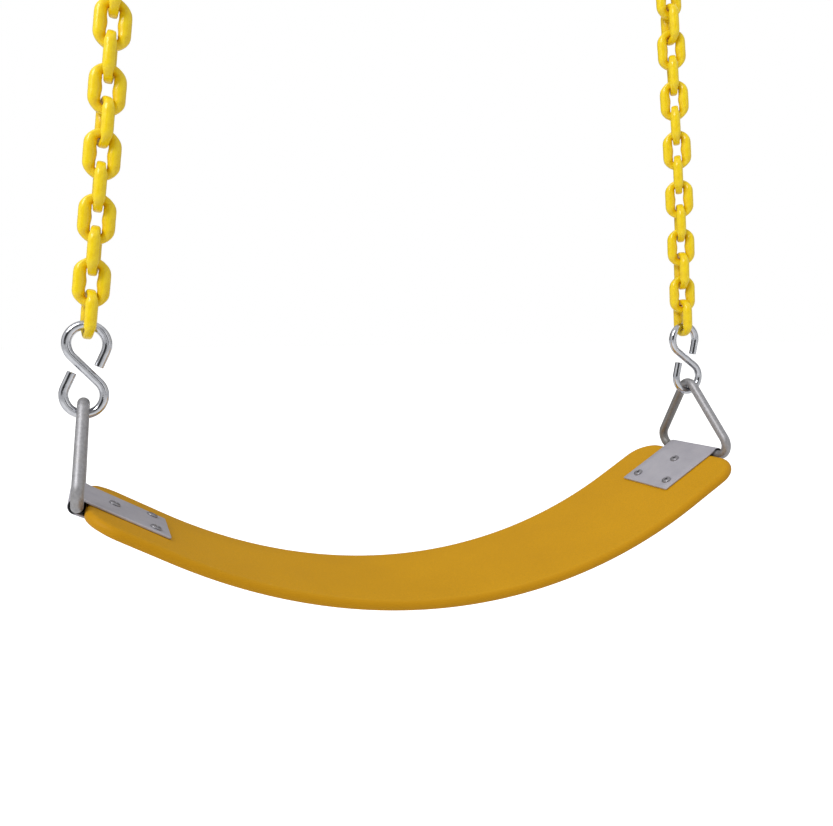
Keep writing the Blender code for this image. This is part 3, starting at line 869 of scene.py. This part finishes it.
def plate_path():
    """The sheet's middle line from the upper leaf's tip round the roll to the lower leaf's, and
    how far each point's edge is set in for the tips' rounded corners."""
    leaf = BELT_THICK / 2 + GAP + SHEET / 2
    step = (LEAF_START - LEAF_RUN) / LEAF_STEPS
    upper = [(LEAF_RUN + step * i, leaf) for i in range(LEAF_STEPS + 1)]
    roll = arc((0.0, 0.0), ROLL_R, math.pi / 2, 3 * math.pi / 2, ROLL_STEPS)
    lower = [(x, -z) for x, z in reversed(upper)]
    corner = PLATE_CORNER_R
    depths = [share * corner for share in PLATE_CORNER_SHARES]
    tip = [(LEAF_RUN - depth, leaf) for depth in depths]
    path = tip + upper[1:] + line(upper[-1], roll[0], NECK_STEPS) + roll
    path += line(roll[-1], lower[0], NECK_STEPS) + lower[:-1] + [(x, -z) for x, z in reversed(tip)]
    inset = [corner - math.sqrt(max(0.0, corner ** 2 - (corner - depth) ** 2)) for depth in depths]
    insets = inset + [0.0] * (len(path) - 2 * len(tip)) + inset[::-1]
    return path, insets


def plate_section(half, thick):
    """The sheet's section, half wide and thick each way: outer skin, edge, inner skin, edge."""
    flat = half - PLATE_EDGE_R
    soft = PLATE_EDGE_R * ROUND_SHARE
    across = [flat * (1 - 2 * j / PLATE_ACROSS_STEPS) for j in range(PLATE_ACROSS_STEPS + 1)]
    section = [(thick, side) for side in across]
    section += [(thick - soft, soft - half), (thick - PLATE_EDGE_R, -half)]
    section += [(PLATE_EDGE_R - thick, -half), (soft - thick, soft - half)]
    section += [(-thick, -side) for side in across]
    section += [(soft - thick, half - soft), (PLATE_EDGE_R - thick, half)]
    section += [(thick - PLATE_EDGE_R, half), (thick - soft, half - soft)]
    return section


def plate_fine(name):
    """One sheet folded round the bar, with a leaf on each side of the belt and rounded corners."""
    path, insets = plate_path()
    tips = (0, len(path) - 1)
    roll_start = len(PLATE_CORNER_SHARES) + LEAF_STEPS + NECK_STEPS - 1
    roll = range(roll_start, len(path) - roll_start)
    # The points round a section: outer skin, edge, inner skin, edge. inner leaves out only the
    # outer skin and the point beside it on each edge.
    skin = PLATE_ACROSS_STEPS + 1
    edge = 4
    inner = range(skin + 1, 2 * (skin + edge) - 1)

    def ring(i):
        thick = SHEET / 2
        if i in tips:
            thick -= PLATE_EDGE_R
        return plate_section(PLATE_WIDTH / 2 - insets[i], thick)

    def painted_roll_shade(i, k):
        """Painted shade: the sheet's inner skin and the inner part of its cut edges, near black within the roll.
        """
        return 1.0 if i in roll and k in inner else 0.0

    return sweep(name, path, ring, degrees=50, attribute="painted_roll_shade", value=painted_roll_shade)


def rivet_fine(name):
    """A tubular rivet: a domed ring head with a dimple, and a clinched foot."""
    face = BELT_THICK / 2 + GAP + SHEET + GAP
    floor = face + RIVET_FLOOR_H
    lip_z = face + RIVET_HEAD_H - RIVET_LIP_DROP
    lip_r = RIVET_BORE_R + RIVET_LIP_WIDTH
    rise = RIVET_HEAD_H - RIVET_SKIRT
    outline = [(0.0, floor), (RIVET_FLOOR_R, floor), (RIVET_BORE_R, face + RIVET_WALL_FOOT)]
    for i in range(RIVET_LIP_STEPS + 1):
        angle = math.pi - math.pi / 2 * i / RIVET_LIP_STEPS
        radius = lip_r + RIVET_LIP_WIDTH * math.cos(angle)
        outline.append((radius, lip_z + RIVET_LIP_DROP * math.sin(angle)))
    for i in range(1, RIVET_DOME_STEPS + 1):
        angle = math.pi / 2 * (1 - i / RIVET_DOME_STEPS)
        radius = lip_r + (RIVET_HEAD_R - lip_r) * math.cos(angle)
        outline.append((radius, face + RIVET_SKIRT + rise * math.sin(angle)))
    outline += [(RIVET_HEAD_R - RIVET_HEAD_UNDERCUT, face), (RIVET_SHANK_R, face)]
    outline += [(RIVET_SHANK_R, -face), (RIVET_HEAD_R - RIVET_FOOT_UNDERCUT, -face)]
    for i in range(RIVET_DOME_STEPS):
        angle = math.pi / 2 * i / RIVET_DOME_STEPS
        z = -face - RIVET_SKIRT - rise * math.sin(angle)
        outline.append((RIVET_HEAD_R * math.cos(angle), z))
    outline.append((0.0, -face - RIVET_HEAD_H))
    # Painted shade in the dimple.
    dimple = DIMPLE_PAINTED_SHADE + (0.0,) * (len(outline) - len(DIMPLE_PAINTED_SHADE))
    return turned(name, outline, RIVET_SIDES, "dimple", dimple)


def add_seat(rubber, sheet, steel):
    hole = RIVET_SHANK_R + GAP
    reach = 3 * BELT_THICK
    holes = []
    for side in SIDES:
        for run, y in RIVET_SPOTS:
            place = end_frame(side) @ Matrix.Translation((run, y, 0))
            holes.append((rod_mesh("hole", hole, reach, RIVET_SIDES), place))
    belt = add_piece("belt_moulded", belt_fine(), Matrix.Identity(4), rubber)
    carve(belt, holes, degrees=60)
    stand_for(belt, "seat_belt")
    per_side = len(RIVET_SPOTS)
    for index, side in enumerate(SIDES):
        mesh = plate_fine(f"{side}_plate_fine")
        plate = add_piece(f"{side}_folded_plate", mesh, end_frame(side), sheet)
        carve(plate, holes[index * per_side:(index + 1) * per_side], degrees=50)
        stand_for(plate, f"{side}_hanger_plate")
        for i, (run, y) in enumerate(RIVET_SPOTS):
            node = f"{side}_rivet_{i + 1}"
            spin = Matrix.Rotation(RIVET_TURN * i, 4, "Z")
            place = end_frame(side) @ Matrix.Translation((run, y, 0)) @ spin
            rivet = add_piece(node + "_tubular", rivet_fine(node + "_fine"), place, steel)
            stand_for(rivet, node)


# ---------------------------------------------------------------- snap hooks


def gate_frame():
    """Frame at the gate's hinge in the hook's own XZ plane: Z up the side, X outwards."""
    lean = math.asin((SNAP_FOOT_R - SNAP_TOP_R) / (SNAP_TOP_Z - SNAP_FOOT_Z))
    start_x = SNAP_TOP_R * math.cos(lean)
    start_z = SNAP_TOP_Z + SNAP_TOP_R * math.sin(lean)
    hinge_x = start_x + (start_z - GATE_HINGE_Z) * math.tan(lean)
    return Matrix.Translation((hinge_x, 0, GATE_HINGE_Z)) @ Matrix.Rotation(-lean, 4, "Y"), lean


def snap_body_fine(name):
    """The bent wire, from the gate's hinge over the narrow top and round the wide foot to the nose."""
    place, lean = gate_frame()
    hinge_end = place @ Vector((0, 0, HINGE_TONGUE_END))
    nose_end = place @ Vector((0, 0, -GATE_REACH + NOSE_END_ABOVE_PIN))
    first = (hinge_end.x, hinge_end.z)
    last = (nose_end.x, nose_end.z)
    turn = math.pi - lean
    top = arc((0, SNAP_TOP_Z), SNAP_TOP_R, lean, turn, SNAP_TOP_STEPS)
    foot = arc((0, SNAP_FOOT_Z), SNAP_FOOT_R, turn, 2 * math.pi + lean, SNAP_FOOT_STEPS)
    path = [first] + line(first, top[0], SNAP_HINGE_STEPS) + top
    path += line(top[-1], foot[0], SNAP_BACK_STEPS) + foot
    path += line(foot[-1], last, SNAP_NOSE_STEPS) + [last]
    return sweep(name, path, lambda i: circle(SNAP_WIRE_R, WIRE_SIDES))


def snap_body_cuts(place):
    """The cheeks beside the hinge's and the nose's tongues, and the notch for the latch pin."""
    far = 2 * SNAP_WIRE_R
    nose = -GATE_REACH
    low = nose - NOSE_CHEEK_DROP
    high = nose + far
    boxes = (
        ((-far, TONGUE_HALF, -far), (far, far, HINGE_CHEEK_TOP)),
        ((-far, -far, -far), (far, -TONGUE_HALF, HINGE_CHEEK_TOP)),
        ((-far, NOSE_TONGUE_HALF, low), (far, far, high)),
        ((-far, -far, low), (far, -NOSE_TONGUE_HALF, high)),
        ((-far, -far, nose - NOTCH_DROP), (NOTCH_DEPTH, far, nose + NOTCH_RISE)),
    )
    return [(box_mesh("cheek", a, b), place) for a, b in boxes]


def pin_hole(place, z):
    """A hole across the wire, z up from the gate's hinge."""
    turn = Matrix.Translation((0, 0, z)) @ Matrix.Rotation(math.pi / 2, 4, "X")
    return rod_mesh("pin_hole", PIN_R + GAP, PIN_HOLE_HALF_LENGTH, PIN_SIDES), place @ turn


def gate_fine(name):
    """The gate's round sleeve, its two ends lightly rounded."""
    low = -GATE_REACH - GATE_NOSE_OVERHANG
    high = GATE_OVERHANG
    edge = GATE_EDGE_R
    soft = edge * ROUND_SHARE
    outline = [(0.0, low), (GATE_R - edge, low), (GATE_R - soft, low + soft), (GATE_R, low + edge)]
    for i in range(1, GATE_STEPS):
        outline.append((GATE_R, low + edge + (high - low - 2 * edge) * i / GATE_STEPS))
    outline += [(GATE_R, high - edge), (GATE_R - soft, high - soft), (GATE_R - edge, high)]
    outline.append((0.0, high))
    return turned(name, outline, GATE_SIDES)


def gate_cuts(place):
    """The slots that take the hinge's and the nose's tongues."""
    far = 2 * GATE_R
    roof = -GATE_REACH + NOSE_SLOT_ABOVE_PIN
    boxes = (
        ((-far, -SLOT_HALF, HINGE_SLOT_FLOOR), (far, SLOT_HALF, far)),
        ((-far, -SLOT_HALF, -GATE_REACH - far), (far, SLOT_HALF, roof)),
    )
    return [(box_mesh("slot", a, b), place) for a, b in boxes]


def pin_fine(name):
    """A small pin with domed heads."""
    outline = [(0.0, -PIN_HALF_LENGTH)]
    for i in range(1, PIN_DOME_STEPS + 1):
        angle = math.pi / 2 * i / PIN_DOME_STEPS
        z = -PIN_HALF_LENGTH + PIN_DOME * (1 - math.cos(angle))
        outline.append((PIN_R * math.sin(angle), z))
    outline += [(radius, -z) for radius, z in reversed(outline)]
    return turned(name, outline, PIN_SIDES)


def add_snap_hooks(steel):
    lay = Matrix.Rotation(math.pi / 2, 4, "X")
    turn = Matrix.Rotation(-math.pi / 2, 4, "Z")
    local, _ = gate_frame()
    for side in SIDES:
        hinge_place = Vector(JOINTS[f"{side}_gate_hinge"]["pos_m"])
        hook = Matrix.Translation(hinge_place) @ turn @ Matrix.Translation(-local.translation)
        hinge = hook @ local
        body = add_piece(f"{side}_snap_wire", snap_body_fine(f"{side}_snap_fine"), hook, steel)
        hinge_hole = pin_hole(hinge, 0.0)
        latch_hole = pin_hole(hinge, -GATE_REACH)
        carve(body, snap_body_cuts(hinge) + [hinge_hole], degrees=35)
        stand_for(body, f"{side}_snap_body")
        gate = add_piece(f"{side}_gate_sleeve", gate_fine(f"{side}_gate_fine"), hinge, steel)
        carve(gate, gate_cuts(hinge) + [hinge_hole, latch_hole], degrees=35)
        stand_for(gate, f"{side}_snap_gate")
        for pin, z in (("hinge", 0.0), ("latch", -GATE_REACH)):
            place = hinge @ Matrix.Translation((0, 0, z)) @ lay
            fine = add_piece(f"{side}_{pin}_pin", pin_fine(f"{side}_{pin}_pin_fine"), place, steel)
            stand_for(fine, f"{side}_snap_{pin}_pin")
        spring = frame["nodes"][f"{side}_snap_spring"]
        spring.data.materials.clear()
        spring.data.materials.append(steel)


# ---------------------------------------------------------------- stage


def add_floor():
    """A pale floor, well below the seat: white to the camera, and grey to other rays."""
    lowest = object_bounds()[0].z
    bpy.ops.mesh.primitive_plane_add(size=FLOOR_SIZE, location=(0, 0, lowest - FLOOR_DROP))
    floor = bpy.context.object
    floor.name = "floor"
    n = Nodes("pale_floor")
    direct = n.add("ShaderNodeLightPath").outputs["Is Camera Ray"]
    n.set(
        Base_Color=n.mix(direct, (FLOOR_BOUNCE,) * 3, (FLOOR_WHITE,) * 3), Roughness=0.9,
        Emission_Color=(1.0, 1.0, 1.0),
        Emission_Strength=n.span(direct, FLOOR_BOUNCE_GLOW, FLOOR_GLOW),
        Specular_IOR_Level=0.0,
    )
    floor.data.materials.append(n.material)


def add_world():
    """White where the camera looks. The rest is a studio, bright above, with bright and dark walls."""
    world = bpy.data.worlds.new("studio")
    bpy.context.scene.world = world
    world.use_nodes = True
    tree = world.node_tree
    tree.nodes.clear()

    def new(kind):
        return tree.nodes.new(kind)

    coords = new("ShaderNodeTexCoord")
    parts = new("ShaderNodeSeparateXYZ")
    tree.links.new(coords.outputs["Generated"], parts.inputs[0])
    bearing = new("ShaderNodeMath")
    bearing.operation = "ARCTAN2"
    tree.links.new(parts.outputs["X"], bearing.inputs[0])
    tree.links.new(parts.outputs["Y"], bearing.inputs[1])
    round_trip = new("ShaderNodeMapRange")
    round_trip.inputs["From Min"].default_value = -math.pi
    round_trip.inputs["From Max"].default_value = math.pi
    tree.links.new(bearing.outputs[0], round_trip.inputs["Value"])
    walls = new("ShaderNodeValToRGB")
    walls.color_ramp.interpolation = "EASE"
    while len(walls.color_ramp.elements) < len(WORLD_WALLS):
        walls.color_ramp.elements.new(0.5)
    for element, (degrees, level) in zip(walls.color_ramp.elements, WORLD_WALLS):
        element.position = (degrees + 180) / 360
        element.color = (level, level, level, 1.0)
    tree.links.new(round_trip.outputs[0], walls.inputs["Fac"])
    rise = new("ShaderNodeMapRange")
    rise.inputs["From Min"].default_value = WORLD_RISE[0]
    rise.inputs["From Max"].default_value = WORLD_RISE[1]
    rise.interpolation_type = "SMOOTHSTEP"
    tree.links.new(parts.outputs["Z"], rise.inputs["Value"])
    top = new("ShaderNodeMix")
    tree.links.new(rise.outputs[0], top.inputs[0])
    tree.links.new(walls.outputs[0], top.inputs[2])
    top.inputs[3].default_value = WORLD_TOP
    studio = new("ShaderNodeBackground")
    tree.links.new(top.outputs[0], studio.inputs["Strength"])
    white = new("ShaderNodeBackground")
    white.inputs["Strength"].default_value = 1.0
    white.inputs["Color"].default_value = (1.0, 1.0, 1.0, 1.0)
    rays = new("ShaderNodeLightPath")
    choose = new("ShaderNodeMixShader")
    tree.links.new(rays.outputs["Is Camera Ray"], choose.inputs[0])
    tree.links.new(studio.outputs[0], choose.inputs[1])
    tree.links.new(white.outputs[0], choose.inputs[2])
    output = new("ShaderNodeOutputWorld")
    tree.links.new(choose.outputs[0], output.inputs["Surface"])


def add_light(name, place, size, watts):
    """A soft box that points at the seat."""
    data = bpy.data.lights.new(name, "AREA")
    data.shape = "RECTANGLE"
    data.size, data.size_y = size
    data.energy = watts
    light = bpy.data.objects.new(name, data)
    bpy.context.scene.collection.objects.link(light)
    light.location = place
    sight = Vector(LIGHT_AIM) - Vector(place)
    light.rotation_euler = sight.to_track_quat("-Z", "Y").to_euler()


def add_camera():
    """The camera stands to the left front of the seat and a little above it."""
    yaw = Matrix.Rotation(-CAMERA_YAW, 4, "Z")
    pitch = Matrix.Rotation(math.pi / 2 - CAMERA_PITCH, 4, "X")
    roll = Matrix.Rotation(CAMERA_ROLL, 4, "Z")
    data = bpy.data.cameras.new("camera")
    data.sensor_fit = "HORIZONTAL"
    data.sensor_width = CAMERA_SENSOR
    data.lens = CAMERA_LENS
    data.clip_start = CAMERA_CLIP_START
    camera = bpy.data.objects.new("camera", data)
    bpy.context.scene.collection.objects.link(camera)
    bars = (BAR["left"] + BAR["right"]) / 2
    place = Matrix.Translation(bars + Vector(CAMERA_FROM_BARS))
    camera.matrix_world = place @ yaw @ pitch @ roll
    bpy.context.scene.camera = camera


add_camera()
bright_zinc = zinc_material(
    "bright_zinc_look", light=(0.63, 0.64, 0.67), dark=(0.48, 0.49, 0.53), rough=(0.09, 0.18),
    wave=0.0003,
)
satin_zinc = zinc_material(
    "satin_zinc_look", light=(0.62, 0.62, 0.60), dark=(0.52, 0.52, 0.50), rough=(0.26, 0.38),
    wave=0.0001,
)
add_seat(belt_material(), sheet_material(), rivet_material())
add_hangers(bright_zinc, galvanised_material())
add_chains(vinyl_material())
add_snap_hooks(satin_zinc)
add_floor()
add_world()
add_light("key", KEY_PLACE, KEY_SIZE, KEY_WATTS)
add_light("fill", FILL_PLACE, FILL_SIZE, FILL_WATTS)
bpy.context.scene.view_settings.view_transform = "Standard"
